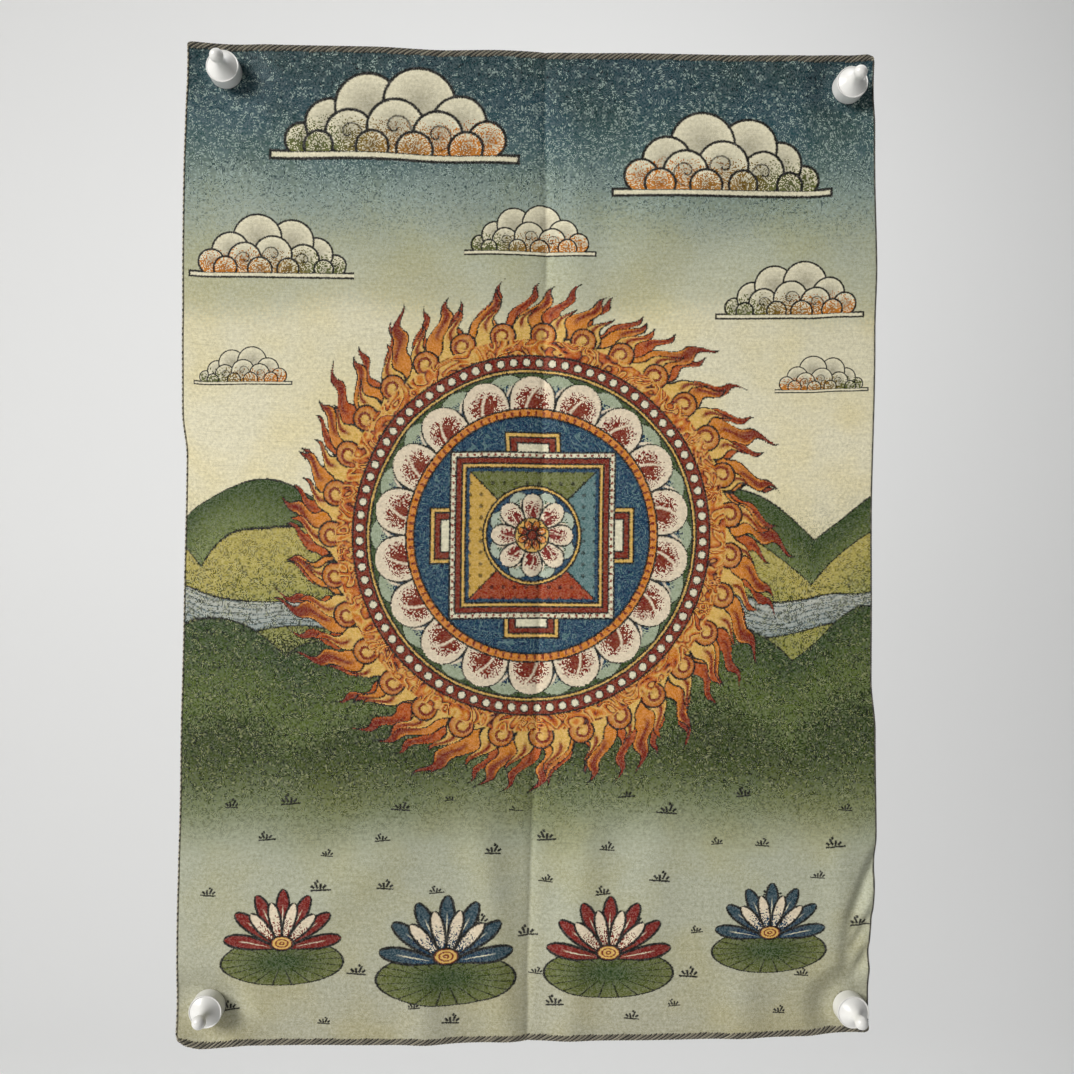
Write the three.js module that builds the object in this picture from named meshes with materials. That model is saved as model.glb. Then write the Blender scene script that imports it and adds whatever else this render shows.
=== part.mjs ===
import * as THREE from 'three';

// A woven picture panel held flat against a wall by one push magnet near each corner.
// Millimetres, X to the right, Z up. The wall is the plane y = 0 and the cloth's face looks along -Y.
// The origin lies on the wall, on the panel's centre line, level with the two upper magnets.

// Driving dimensions
const PANEL_WIDTH = 300;
const PANEL_HEIGHT = 429;
const CLOTH_THICKNESS = 1;
const MAGNET_DROP = 13;
const TOUCH_GAP = 0.3;

// Overlocked edges: how far the stitches reach in, how thick they are, and the slope beside them
const END_EDGE = { reach: 2.3, thickness: 1.9, slope: 0.6 };
const SIDE_EDGE = { reach: 1, thickness: 1.4, slope: 0.6 };

// Radius of each soft corner
const CORNER_RADIUS = { topLeft: 2, topRight: 4, bottomLeft: 5, bottomRight: 2.5 };

// Where each edge leaves the plain rectangle: shift to the right, or rise, at a fraction of the edge
const LEFT_EDGE = [
  { down: 0, shift: 1.1 },
  { down: 0.15, shift: 0.1 },
  { down: 0.3, shift: 0.1 },
  { down: 0.37, shift: 0.2 },
  { down: 0.415, shift: 2.2 },
  { down: 0.56, shift: 1.6 },
  { down: 0.72, shift: 0.8 },
  { down: 0.9, shift: -0.5 },
  { down: 1, shift: -0.9 },
];
const RIGHT_EDGE = [
  { down: 0, shift: 0.4 },
  { down: 0.12, shift: 0.1 },
  { down: 0.23, shift: 0.9 },
  { down: 0.29, shift: 0 },
  { down: 0.48, shift: -1.9 },
  { down: 0.56, shift: -1.8 },
  { down: 0.64, shift: -1.9 },
  { down: 0.69, shift: -0.9 },
  { down: 0.8, shift: -0.6 },
  { down: 0.85, shift: -0.55 },
  { down: 0.92, shift: -1.65 },
  { down: 0.97, shift: -0.8 },
  { down: 1, shift: -0.75 },
];
const TOP_EDGE = [
  { across: 0, rise: -0.5 },
  { across: 0.14, rise: -1.1 },
  { across: 0.27, rise: -0.8 },
  { across: 0.36, rise: -1.5 },
  { across: 0.45, rise: -0.55 },
  { across: 0.57, rise: -0.9 },
  { across: 0.65, rise: -0.55 },
  { across: 0.78, rise: -0.55 },
  { across: 0.9, rise: 0.15 },
  { across: 0.95, rise: 1.45 },
  { across: 1, rise: 2.1 },
];
const BOTTOM_EDGE = [
  { across: 0, rise: 0 },
  { across: 0.035, rise: -2.25 },
  { across: 0.11, rise: -0.35 },
  { across: 0.17, rise: -0.35 },
  { across: 0.3, rise: -1 },
  { across: 0.48, rise: -0.8 },
  { across: 0.65, rise: -0.7 },
  { across: 0.86, rise: 0.1 },
  { across: 1, rise: 0.3 },
];

// The folded-and-opened centre crease: its place from the centre line, a valley toward the wall
const CREASE_LINE = [
  { down: 0, shift: 4 },
  { down: 0.2, shift: 5.4 },
  { down: 0.52, shift: 4 },
  { down: 0.86, shift: 0.5 },
  { down: 1, shift: 0 },
];
const CREASE_DEPTH = 0.6;
const CREASE_REACH = 9;
const CREASE_NIP = 0.55;
const CREASE_NIP_REACH = 1.5;

// How far the cloth stands off the wall: the crown of each half, and each side edge
const STAND_OFF = [
  { down: 0, leftCrown: 0.8, rightCrown: 0.9, leftEdge: 0.8, rightEdge: 1.2 },
  { down: 0.22, leftCrown: 2.4, rightCrown: 2.2, leftEdge: 2.4, rightEdge: 2.8 },
  { down: 0.45, leftCrown: 3, rightCrown: 2.6, leftEdge: 1, rightEdge: 4.6 },
  { down: 0.64, leftCrown: 2.7, rightCrown: 3.2, leftEdge: 1.9, rightEdge: 5 },
  { down: 0.69, leftCrown: 2.6, rightCrown: 3.4, leftEdge: 2.2, rightEdge: 7.4 },
  { down: 0.8, leftCrown: 2.4, rightCrown: 3.2, leftEdge: 1.7, rightEdge: 8.2 },
  { down: 0.85, leftCrown: 2.2, rightCrown: 3, leftEdge: 1.4, rightEdge: 5.6 },
  { down: 0.92, leftCrown: 2, rightCrown: 2.5, leftEdge: 1.2, rightEdge: 2.6 },
  { down: 1, leftCrown: 1.6, rightCrown: 1.8, leftEdge: 0.8, rightEdge: 1.4 },
];

// Soft ridges and troughs: the line each follows, its height off the sheet and its half width
const FOLDS = [
  { fromX: 152, fromZ: -332, toX: 140.5, toZ: -364, height: -2, spread: 2.8 },
  { fromX: 141, fromZ: -362, toX: 139.5, toZ: -392, height: -1, spread: 3.5 },
  { fromX: 150, fromZ: -346, toX: 146, toZ: -362, height: 0.8, spread: 2.6 },
  { fromX: 149.8, fromZ: -377.5, toX: 140.8, toZ: -397, height: -1.6, spread: 2.4 },
  { fromX: 149.5, fromZ: -362.5, toX: 143, toZ: -378, height: -1.2, spread: 2.2 },
  { fromX: 150, fromZ: -386, toX: 146, toZ: -399, height: 1, spread: 2.4 },
  { fromX: 134, fromZ: -396, toX: 135, toZ: -330, height: 0.9, spread: 7 },
  { fromX: -126, fromZ: -6, toX: -30, toZ: -56, height: 1.3, spread: 13 },
  { fromX: -118, fromZ: -34, toX: -24, toZ: -88, height: -1.1, spread: 12 },
  { fromX: 131, fromZ: -8, toX: 40, toZ: -66, height: 1.2, spread: 13 },
  { fromX: 124, fromZ: -46, toX: 34, toZ: -104, height: -1, spread: 12 },
  { fromX: -150, fromZ: -100, toX: 150, toZ: -94, height: -0.8, spread: 8 },
  { fromX: -128, fromZ: -392, toX: -56, toZ: -330, height: 1.1, spread: 11 },
  { fromX: -21, fromZ: -322, toX: -7, toZ: -424, height: 1.7, spread: 8 },
  { fromX: 25, fromZ: -322, toX: 17, toZ: -424, height: 1.5, spread: 8 },
  { fromX: 57, fromZ: -312, toX: 48, toZ: -388, height: 1.1, spread: 11 },
  { fromX: -46, fromZ: -384, toX: -43, toZ: -424, height: 1.7, spread: 9 },
  { fromX: 94, fromZ: -388, toX: 93, toZ: -424, height: 1.4, spread: 9 },
  { fromX: 20, fromZ: -24, toX: 16, toZ: -136, height: 0.9, spread: 9 },
];
const FOLD_END = 0.18;

// The cloth lies flat on the wall under each magnet and eases off it further out
const PAD_FLAT = 9;
const PAD_EASE = 22;

// Steps of the sheet's grid: rows above and below a line, where the folds are tighter, and columns, with how
// strongly these crowd toward the side edges and the crease
const HALF_COLUMNS = 20;
const UPPER_ROWS = 36;
const LOWER_ROWS = 22;
const LOWER_START = 312;
const COLUMN_CROWDING = 0.6;

// Push magnet: straight base with a crisp rim, hollow cone, neck and ball knob
const MAGNET_BASE_RADIUS = 6.9;
const MAGNET_BASE_TALL = 7.1;
const MAGNET_RIM_EDGE = 0.4;
const MAGNET_SHOULDER_RADIUS = 6.4;
const MAGNET_FLARE = 2.6;
const MAGNET_NECK_RADIUS = 1.6;
const MAGNET_KNOB_RADIUS = 2.9;
const MAGNET_TALL = 19.75;
const MAGNET_SIDES = 20;
const MAGNET_CONE_STEPS = 6;
const MAGNET_KNOB_STEPS = 6;
const MAGNETS = [
  { name: 'magnet_top_left', x: -132.8, z: 0 },
  { name: 'magnet_top_right', x: 138.5, z: 0 },
  { name: 'magnet_bottom_left', x: -137.1, z: -400 },
  { name: 'magnet_bottom_right', x: 140.2, z: -404.3 },
];

const { clamp, lerp, smoothstep } = THREE.MathUtils;

// Value of a table's column at a place between its rows, eased from row to row.
function eased(rows, place, column, at) {
  const last = rows.findIndex((row) => row[place] >= at);
  if (last <= 0) {
    return rows[0][column];
  }
  const before = rows[last - 1];
  const after = rows[last];
  const step = smoothstep(at, before[place], after[place]);
  return lerp(before[column], after[column], step);
}

// Across fraction of the crease at a height given as a fraction down the panel.
function creaseAcross(down) {
  return 0.5 + eased(CREASE_LINE, 'down', 'shift', down) / PANEL_WIDTH;
}

// Height of one soft fold at a point: a bell across its line that fades out at both ends.
function foldHeight(fold, x, z) {
  const runX = fold.toX - fold.fromX;
  const runZ = fold.toZ - fold.fromZ;
  const along = ((x - fold.fromX) * runX + (z - fold.fromZ) * runZ) / (runX ** 2 + runZ ** 2);
  const t = clamp(along, 0, 1);
  const away = Math.hypot(x - fold.fromX - t * runX, z - fold.fromZ - t * runZ);
  const fade = smoothstep(along, -FOLD_END, FOLD_END) * (1 - smoothstep(along, 1 - FOLD_END, 1 + FOLD_END));
  return fold.height * fade * Math.exp(-((away / fold.spread) ** 2));
}

// Nought under a magnet, one well away from all of them.
function looseness(x, z) {
  return MAGNETS.reduce(
    (loose, magnet) => loose * smoothstep(Math.hypot(x - magnet.x, z - magnet.z), PAD_FLAT, PAD_EASE),
    1,
  );
}

// Distance of the cloth's back from the wall at fractions across and down the panel.
function standOff(across, down) {
  const x = (across - 0.5) * PANEL_WIDTH;
  const z = MAGNET_DROP - down * PANEL_HEIGHT;
  const crease = creaseAcross(down);
  const side = across < crease ? 'left' : 'right';
  const outward = across < crease ? (crease - across) / crease : (across - crease) / (1 - crease);
  const crown = eased(STAND_OFF, 'down', `${side}Crown`, down) * 4 * outward * (1 - outward);
  const edge = eased(STAND_OFF, 'down', `${side}Edge`, down) * outward ** 2;
  const fromCrease = Math.abs(across - crease) * PANEL_WIDTH;
  const nip = CREASE_NIP * (1 - Math.exp(-fromCrease / CREASE_NIP_REACH));
  const valley = CREASE_DEPTH * (1 - Math.exp(-fromCrease / CREASE_REACH)) + nip;
  const folds = FOLDS.reduce((sum, fold) => sum + foldHeight(fold, x, z), 0);
  return Math.max(0, crown + edge + valley + folds) * looseness(x, z);
}

// Pulls a point near a square corner onto a rounded one: insets are measured from both edges.
function roundedInsets(insetX, insetZ, radius) {
  const reachX = (radius - insetX) / radius;
  const reachZ = (radius - insetZ) / radius;
  if (reachX <= 0 || reachZ <= 0) {
    return [insetX, insetZ];
  }
  return [
    radius * (1 - reachX * Math.sqrt(1 - reachZ ** 2 / 2)),
    radius * (1 - reachZ * Math.sqrt(1 - reachX ** 2 / 2)),
  ];
}

// Place of the cloth's back in X and Z at distances from the left and top edges.
function placeOnWall(fromLeft, fromTop) {
  const isLeft = fromLeft < PANEL_WIDTH / 2;
  const isTop = fromTop < PANEL_HEIGHT / 2;
  const radius = CORNER_RADIUS[`${isTop ? 'top' : 'bottom'}${isLeft ? 'Left' : 'Right'}`];
  const insetX = isLeft ? fromLeft : PANEL_WIDTH - fromLeft;
  const insetZ = isTop ? fromTop : PANEL_HEIGHT - fromTop;
  const [softX, softZ] = roundedInsets(insetX, insetZ, radius);
  const across = (isLeft ? softX : PANEL_WIDTH - softX) / PANEL_WIDTH;
  const down = (isTop ? softZ : PANEL_HEIGHT - softZ) / PANEL_HEIGHT;
  const left = -PANEL_WIDTH / 2 + eased(LEFT_EDGE, 'down', 'shift', down);
  const right = PANEL_WIDTH / 2 + eased(RIGHT_EDGE, 'down', 'shift', down);
  const top = MAGNET_DROP + eased(TOP_EDGE, 'across', 'rise', across);
  const bottom = MAGNET_DROP - PANEL_HEIGHT + eased(BOTTOM_EDGE, 'across', 'rise', across);
  return { x: lerp(left, right, across), z: lerp(top, bottom, down), across, down };
}

// Thickness that an overlocked edge adds at a distance in from it.
function edgeSwell(edge, inset) {
  const share = clamp((edge.reach + edge.slope - inset) / edge.slope, 0, 1);
  return (edge.thickness - CLOTH_THICKNESS) * share;
}

// Closed sheet from two grids of points, front and back, and a rim that joins their borders.
function closedSheet(columns, rows, pointAt) {
  const positions = [];
  const faces = [];
  const front = (i, j) => i * rows + j;
  const back = (i, j) => columns * rows + i * rows + j;
  for (const isBack of [false, true]) {
    for (let i = 0; i < columns; i += 1) {
      for (let j = 0; j < rows; j += 1) {
        positions.push(...pointAt(i, j, isBack));
      }
    }
  }
  for (let i = 0; i < columns - 1; i += 1) {
    for (let j = 0; j < rows - 1; j += 1) {
      faces.push(front(i, j), front(i, j + 1), front(i + 1, j + 1));
      faces.push(front(i, j), front(i + 1, j + 1), front(i + 1, j));
      faces.push(back(i, j), back(i + 1, j + 1), back(i, j + 1));
      faces.push(back(i, j), back(i + 1, j), back(i + 1, j + 1));
    }
  }
  const border = [];
  for (let j = 0; j < rows - 1; j += 1) {
    border.push([0, j]);
  }
  for (let i = 0; i < columns - 1; i += 1) {
    border.push([i, rows - 1]);
  }
  for (let j = rows - 1; j > 0; j -= 1) {
    border.push([columns - 1, j]);
  }
  for (let i = columns - 1; i > 0; i -= 1) {
    border.push([i, 0]);
  }
  border.forEach((here, index) => {
    const next = border[(index + 1) % border.length];
    faces.push(front(...next), front(...here), back(...here));
    faces.push(front(...next), back(...here), back(...next));
  });
  const geometry = new THREE.BufferGeometry();
  geometry.setAttribute('position', new THREE.Float32BufferAttribute(positions, 3));
  geometry.setIndex(faces);
  geometry.computeVertexNormals();
  return geometry;
}

// The panel: every column follows the side edges and the crease, every row the top and bottom edges.
function panelGeometry() {
  const sideInner = SIDE_EDGE.reach + SIDE_EDGE.slope;
  const sideLines = [0, SIDE_EDGE.reach, sideInner];
  const endInner = END_EDGE.reach + END_EDGE.slope;
  const rowLines = [0, END_EDGE.reach, endInner];
  for (let row = 1; row <= UPPER_ROWS; row += 1) {
    rowLines.push(lerp(endInner, LOWER_START, row / UPPER_ROWS));
  }
  for (let row = 1; row < LOWER_ROWS; row += 1) {
    rowLines.push(lerp(LOWER_START, PANEL_HEIGHT - endInner, row / LOWER_ROWS));
  }
  rowLines.push(PANEL_HEIGHT - endInner, PANEL_HEIGHT - END_EDGE.reach, PANEL_HEIGHT);
  const columns = 2 * (sideLines.length + HALF_COLUMNS) - 1;
  const middle = (columns - 1) / 2;

  // Distance of a column from the left edge, where the middle column runs down the crease.
  function columnLine(i, down) {
    const crease = creaseAcross(down) * PANEL_WIDTH;
    const fromSide = i <= middle ? i : columns - 1 - i;
    const half = i <= middle ? crease : PANEL_WIDTH - crease;
    let inset = sideLines[fromSide];
    if (fromSide >= sideLines.length) {
      const step = (fromSide - sideLines.length + 1) / HALF_COLUMNS;
      const crowded = (1 - Math.cos(step * Math.PI)) / 2;
      inset = lerp(sideInner, half, lerp(step, crowded, COLUMN_CROWDING));
    }
    return i <= middle ? inset : PANEL_WIDTH - inset;
  }

  function pointAt(i, j, isBack) {
    const fromTop = rowLines[j];
    const fromLeft = columnLine(i, fromTop / PANEL_HEIGHT);
    const { x, z, across, down } = placeOnWall(fromLeft, fromTop);
    const insetX = Math.min(fromLeft, PANEL_WIDTH - fromLeft);
    const insetZ = Math.min(fromTop, PANEL_HEIGHT - fromTop);
    const swell = Math.max(edgeSwell(SIDE_EDGE, insetX), edgeSwell(END_EDGE, insetZ));
    const depth = standOff(across, down) + (isBack ? 0 : CLOTH_THICKNESS + swell);
    return [x, -depth, z];
  }

  return closedSheet(columns, rowLines.length, pointAt);
}

// Outline of a magnet from the centre of its base to the top of its knob, as radius and height.
function magnetProfile() {
  const knobCentre = MAGNET_TALL - MAGNET_KNOB_RADIUS;
  const neckAngle = Math.PI - Math.asin(MAGNET_NECK_RADIUS / MAGNET_KNOB_RADIUS);
  const neckHeight = knobCentre + MAGNET_KNOB_RADIUS * Math.cos(neckAngle);
  const profile = [
    new THREE.Vector2(0, 0),
    new THREE.Vector2(MAGNET_BASE_RADIUS - MAGNET_RIM_EDGE, 0),
    new THREE.Vector2(MAGNET_BASE_RADIUS, MAGNET_RIM_EDGE),
    new THREE.Vector2(MAGNET_BASE_RADIUS, MAGNET_BASE_TALL - MAGNET_RIM_EDGE),
    new THREE.Vector2(MAGNET_BASE_RADIUS - MAGNET_RIM_EDGE, MAGNET_BASE_TALL),
  ];
  for (let step = 0; step < MAGNET_CONE_STEPS; step += 1) {
    const rise = step / MAGNET_CONE_STEPS;
    const radius = lerp(MAGNET_NECK_RADIUS, MAGNET_SHOULDER_RADIUS, (1 - rise) ** MAGNET_FLARE);
    profile.push(new THREE.Vector2(radius, lerp(MAGNET_BASE_TALL, neckHeight, rise)));
  }
  for (let step = 0; step <= MAGNET_KNOB_STEPS; step += 1) {
    const angle = lerp(neckAngle, 0, step / MAGNET_KNOB_STEPS);
    const radius = step < MAGNET_KNOB_STEPS ? MAGNET_KNOB_RADIUS * Math.sin(angle) : 0;
    profile.push(new THREE.Vector2(radius, knobCentre + MAGNET_KNOB_RADIUS * Math.cos(angle)));
  }
  return profile;
}

const part = new THREE.Group();

const brocade = new THREE.MeshStandardMaterial({ color: 0x8b927c, roughness: 0.8, metalness: 0 });
const panel = new THREE.Mesh(panelGeometry(), brocade);
panel.name = 'panel';
part.add(panel);

for (const { name, x, z } of MAGNETS) {
  const whitePlastic = new THREE.MeshStandardMaterial({ color: 0xf1f1ef, roughness: 0.25, metalness: 0 });
  const magnet = new THREE.Mesh(new THREE.LatheGeometry(magnetProfile(), MAGNET_SIDES), whitePlastic);
  magnet.name = name;
  magnet.rotation.x = Math.PI;
  magnet.position.set(x, -(CLOTH_THICKNESS + TOUCH_GAP), z);
  part.add(magnet);
}

export default part;
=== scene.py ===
from math import cos, pi, radians, sin

import bpy
import numpy as np
from mathutils import Matrix, Vector


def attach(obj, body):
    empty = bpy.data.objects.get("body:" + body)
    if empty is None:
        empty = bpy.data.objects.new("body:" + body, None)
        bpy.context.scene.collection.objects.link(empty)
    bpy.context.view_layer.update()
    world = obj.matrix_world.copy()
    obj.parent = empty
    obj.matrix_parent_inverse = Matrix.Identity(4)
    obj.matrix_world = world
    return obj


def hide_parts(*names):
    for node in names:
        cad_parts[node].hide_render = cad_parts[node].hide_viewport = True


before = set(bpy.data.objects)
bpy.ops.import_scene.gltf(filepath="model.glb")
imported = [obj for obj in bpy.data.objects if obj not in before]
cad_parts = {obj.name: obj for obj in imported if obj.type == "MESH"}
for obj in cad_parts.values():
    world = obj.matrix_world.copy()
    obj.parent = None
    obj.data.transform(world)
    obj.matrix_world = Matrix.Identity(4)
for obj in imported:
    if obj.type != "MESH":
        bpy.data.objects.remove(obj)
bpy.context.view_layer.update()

# Sizes are in millimetres. X runs to the right, Z up, and the face of the cloth looks along -Y.
MM = 0.001

# The panel as it was cut, and the wall-side shape it hangs in
PANEL_WIDTH = 300.0
PANEL_HEIGHT = 429.0
MAGNET_DROP = 13.0
CLOTH_MIDDLE = 0.575
CLOTH_HALF = 0.425
CORNER_RADIUS = {"top_left": 2.0, "top_right": 4.0, "bottom_left": 5.0, "bottom_right": 2.5}

# Where each edge leaves the plain rectangle: fraction along the edge, shift right or rise
LEFT_EDGE = (
    (0, 1.1),
    (0.15, 0.1),
    (0.3, 0.1),
    (0.37, 0.2),
    (0.415, 2.2),
    (0.56, 1.6),
    (0.72, 0.8),
    (0.9, -0.5),
    (1, -0.9),
)
RIGHT_EDGE = (
    (0, 0.4),
    (0.12, 0.1),
    (0.23, 0.9),
    (0.29, 0),
    (0.48, -1.9),
    (0.56, -1.8),
    (0.64, -1.9),
    (0.69, -0.9),
    (0.8, -0.6),
    (0.85, -0.55),
    (0.92, -1.65),
    (0.97, -0.8),
    (1, -0.75),
)
TOP_EDGE = (
    (0, -0.5),
    (0.14, -1.1),
    (0.27, -0.8),
    (0.36, -1.5),
    (0.45, -0.55),
    (0.57, -0.9),
    (0.65, -0.55),
    (0.78, -0.55),
    (0.9, 0.15),
    (0.95, 1.45),
    (1, 2.1),
)
BOTTOM_EDGE = (
    (0, 0),
    (0.035, -2.25),
    (0.11, -0.35),
    (0.17, -0.35),
    (0.3, -1),
    (0.48, -0.8),
    (0.65, -0.7),
    (0.86, 0.1),
    (1, 0.3),
)

# The opened centre crease: fraction down, shift from the centre line
CREASE_LINE = ((0, 4), (0.2, 5.4), (0.52, 4), (0.86, 0.5), (1, 0))
CREASE_DEPTH = 0.6
CREASE_REACH = 9.0
CREASE_NIP = 0.55
CREASE_NIP_REACH = 1.5

# Stand-off from the wall: fraction down, crown of the left and right half, lift of the left and right edge
STAND_OFF = (
    (0, 0.8, 0.9, 0.8, 1.2),
    (0.22, 2.4, 2.2, 2.4, 2.8),
    (0.45, 3, 2.6, 1, 4.6),
    (0.64, 2.7, 3.2, 1.9, 5),
    (0.69, 2.6, 3.4, 2.2, 7.4),
    (0.8, 2.4, 3.2, 1.7, 8.2),
    (0.85, 2.2, 3, 1.4, 5.6),
    (0.92, 2, 2.5, 1.2, 2.6),
    (1, 1.6, 1.8, 0.8, 1.4),
)

# Soft ridges and troughs: from x, from z, to x, to z, height, spread
FOLDS = (
    (152, -332, 140.5, -364, -2, 2.8),
    (141, -362, 139.5, -392, -1, 3.5),
    (150, -346, 146, -362, 0.8, 2.6),
    (149.8, -377.5, 140.8, -397, -1.6, 2.4),
    (149.5, -362.5, 143, -378, -1.2, 2.2),
    (150, -386, 146, -399, 1, 2.4),
    (134, -396, 135, -330, 0.9, 7),
    (-126, -6, -30, -56, 1.3, 13),
    (-118, -34, -24, -88, -1.1, 12),
    (131, -8, 40, -66, 1.2, 13),
    (124, -46, 34, -104, -1, 12),
    (-150, -100, 150, -94, -0.8, 8),
    (-128, -392, -56, -330, 1.1, 11),
    (-21, -322, -7, -424, 1.7, 8),
    (25, -322, 17, -424, 1.5, 8),
    (57, -312, 48, -388, 1.1, 11),
    (-46, -384, -43, -424, 1.7, 9),
    (94, -388, 93, -424, 1.4, 9),
    (20, -24, 16, -136, 0.9, 9),
)
FOLD_END = 0.18

# Flat discs under the magnets
PAD_FLAT = 9.0
PAD_EASE = 22.0

# Push magnets: where each presses the cloth, and the turned outline
MAGNETS = {
    "magnet_top_left": (-132.8, 0.0),
    "magnet_top_right": (138.5, 0.0),
    "magnet_bottom_left": (-137.1, -400.0),
    "magnet_bottom_right": (140.2, -404.3),
}
MAGNET_BASE = 1.3
MAGNET_BASE_RADIUS = 6.9
MAGNET_BASE_TALL = 7.1
MAGNET_RIM_RADIUS = 6.5
MAGNET_DISH = 0.25
MAGNET_SHOULDER_RADIUS = 6.4
MAGNET_FLARE = 2.6
MAGNET_NECK_RADIUS = 1.6
MAGNET_KNOB_RADIUS = 2.9
MAGNET_TALL = 19.75

# Overlocked edges: how far the stitches reach in, the space between them, how far each runs along as it
# crosses the face, the hem's middle from the wall side, the thread's path from that middle, its half width
# and half depth, and the shades of its two threads.
# On the left and right edges the shades are also painted light and painted shade.
END_OVERLOCK = {
    "reach": 2.55,
    "spacing": 1.2,
    "cross": 4.2,
    "middle": 1.0,
    "path": 0.55,
    "width": 0.31,
    "depth": 0.27,
    "shades": (0.0, 0.62),
}
# Painted light: the left edge's threads are lighter than the same thread elsewhere, for the light that falls
# from the left.
LEFT_OVERLOCK = {
    "reach": 0.42,
    "spacing": 1.3,
    "cross": 1.0,
    "middle": 0.75,
    "path": 0.36,
    "width": 0.42,
    "depth": 0.22,
    "shades": (0.2, 1.0),
}
# Painted shade: the right edge's threads are almost black, for the shade along that edge.
RIGHT_OVERLOCK = {
    "reach": 0.6,
    "spacing": 0.95,
    "cross": 1.1,
    "middle": 0.75,
    "path": 0.36,
    "width": 0.28,
    "depth": 0.22,
    "shades": (0.0, 0.07),
}
OVERLOCKS = {"top": END_OVERLOCK, "bottom": END_OVERLOCK, "left": LEFT_OVERLOCK, "right": RIGHT_OVERLOCK}
EDGE_OVERHANG = -0.1
THREAD_END = 0.3
THREAD_STEPS = 16
THREAD_SIDES = 6

# Unevenness of the stitches and of their shade: size, rate, shift from thread to thread
STITCH_DRIFT = ((0.12, 0.83, 1), (0.1, 2.17, 2))
SHADE_DRIFT = ((0.12, 1.9, 1), (0.1, 4.7, 0))

# The cloth's half thickness under the stitches, and where it is pressed thin and is full again, in reaches
SQUEEZED_HALF = 0.18
SIDE_SQUEEZE = (0.7, 2.0)
END_SQUEEZE = (0.7, 1.4)

# The woven design, measured from the panel's middle
WEAVE_CELL = 0.45
DYE_GAIN = 1.2
FACE_LAYER = 1.5
BACK_LAYER = 0.5
BAKE_MARGIN = 0.004
BACK_BAKE_SHARE = 0.42
WHEEL_UP = 4.0
LINE = 0.4
YARN_FLECK = 0.11
YARN_DARKEST = 0.006

# Regions of the face, each with a material of only the layers that show there
HUB_EDGE = 47.0
FLAME_EDGE = 118.0
SKY_EDGE = 38.0
MEADOW_EDGE = -98.0

# Mesh steps: rows and columns close to the edges, then stretches of (where it starts, step) up to the crease
# for columns and down the panel for rows, finer by the crease and in the lower right corner
END_STATIONS = (0, 0.7, 1.5, 2.3, 3.1)
SIDE_STATIONS = (0, 0.5, 1.0, 1.7)
LEFT_STEPS = ((2.6, 2.4), (142, 0.8))
RIGHT_STEPS = ((2.6, 1.0), (24, 2.4), (142, 0.8))
ROW_STEPS = ((4.2, 2.2), (336, 1.1))
MAGNET_SIDES = 72
PROFILE_STEP = 0.14
PROFILE_ROUND = 3

# The photograph's camera
CAMERA_PLACE = (-19.38, -469.33, -202.14)
CAMERA_TURNS = (-2.639, 0.387, -0.301)
CAMERA_VIEW = 53.0

# Stage, in metres, and the even light all round it
FLOOR_HEIGHT = -1.1
FLOOR_FRONT = -6
FLOOR_HALF = 7
COVE_START = 1.5
COVE_RADIUS = 0.9
BACKDROP_TALL = 5
STUDIO_TINT = (0.96, 0.98, 1.0, 1)
STUDIO_STRENGTH = 0.08


def smooth(at, low, high):
    """Eased step from 0 at low to 1 at high: 3t^2 - 2t^3."""
    share = np.clip((at - low) / (high - low), 0, 1)
    return share**2 * (3 - 2 * share)


def eased(table, at, column=1):
    """Value in one column of a table at every place, eased from row to row. The first column is the place."""
    places, values = np.array(table, float)[:, [0, column]].T
    row = np.clip(np.searchsorted(places, at), 1, len(places) - 1)
    step = smooth(at, places[row - 1], places[row])
    return values[row - 1] + (values[row] - values[row - 1]) * step


def crease_across(down):
    """Across fraction of the crease at each fraction down."""
    return 0.5 + eased(CREASE_LINE, down) / PANEL_WIDTH


def fold_height(fold, x, z):
    """A bell across the fold's line, height * exp(-(away / spread)^2), that fades out at both ends."""
    from_x, from_z, to_x, to_z, height, spread = fold
    run_x, run_z = to_x - from_x, to_z - from_z
    along = ((x - from_x) * run_x + (z - from_z) * run_z) / (run_x**2 + run_z**2)
    on_line = np.clip(along, 0, 1)
    away = np.hypot(x - from_x - on_line * run_x, z - from_z - on_line * run_z)
    fade = smooth(along, -FOLD_END, FOLD_END) * (1 - smooth(along, 1 - FOLD_END, 1 + FOLD_END))
    return height * fade * np.exp(-((away / spread) ** 2))


def stand_off(across, down):
    """Distance of the cloth's back from the wall: crowns, lifts, crease and folds, and 0 at the magnets.

    With t from the crease to an edge, a crown is 4 t (1 - t) and a lift t^2. The crease's sides rise as
    1 - exp(-away / reach).
    """
    x = (across - 0.5) * PANEL_WIDTH
    z = MAGNET_DROP - down * PANEL_HEIGHT
    crease = crease_across(down)
    is_left = across < crease
    outward = np.where(is_left, (crease - across) / crease, (across - crease) / (1 - crease))
    columns = (eased(STAND_OFF, down, column) for column in (1, 2, 3, 4))
    left_crown, right_crown, left_lift, right_lift = columns
    crown = np.where(is_left, left_crown, right_crown) * 4 * outward * (1 - outward)
    lift = np.where(is_left, left_lift, right_lift) * outward**2
    from_crease = np.abs(across - crease) * PANEL_WIDTH
    nip = CREASE_NIP * (1 - np.exp(-from_crease / CREASE_NIP_REACH))
    valley = CREASE_DEPTH * (1 - np.exp(-from_crease / CREASE_REACH)) + nip
    folds = sum(fold_height(fold, x, z) for fold in FOLDS)
    loose = np.ones_like(x)
    for magnet_x, magnet_z in MAGNETS.values():
        loose = loose * smooth(np.hypot(x - magnet_x, z - magnet_z), PAD_FLAT, PAD_EASE)
    return np.maximum(0, crown + lift + valley + folds) * loose


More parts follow.
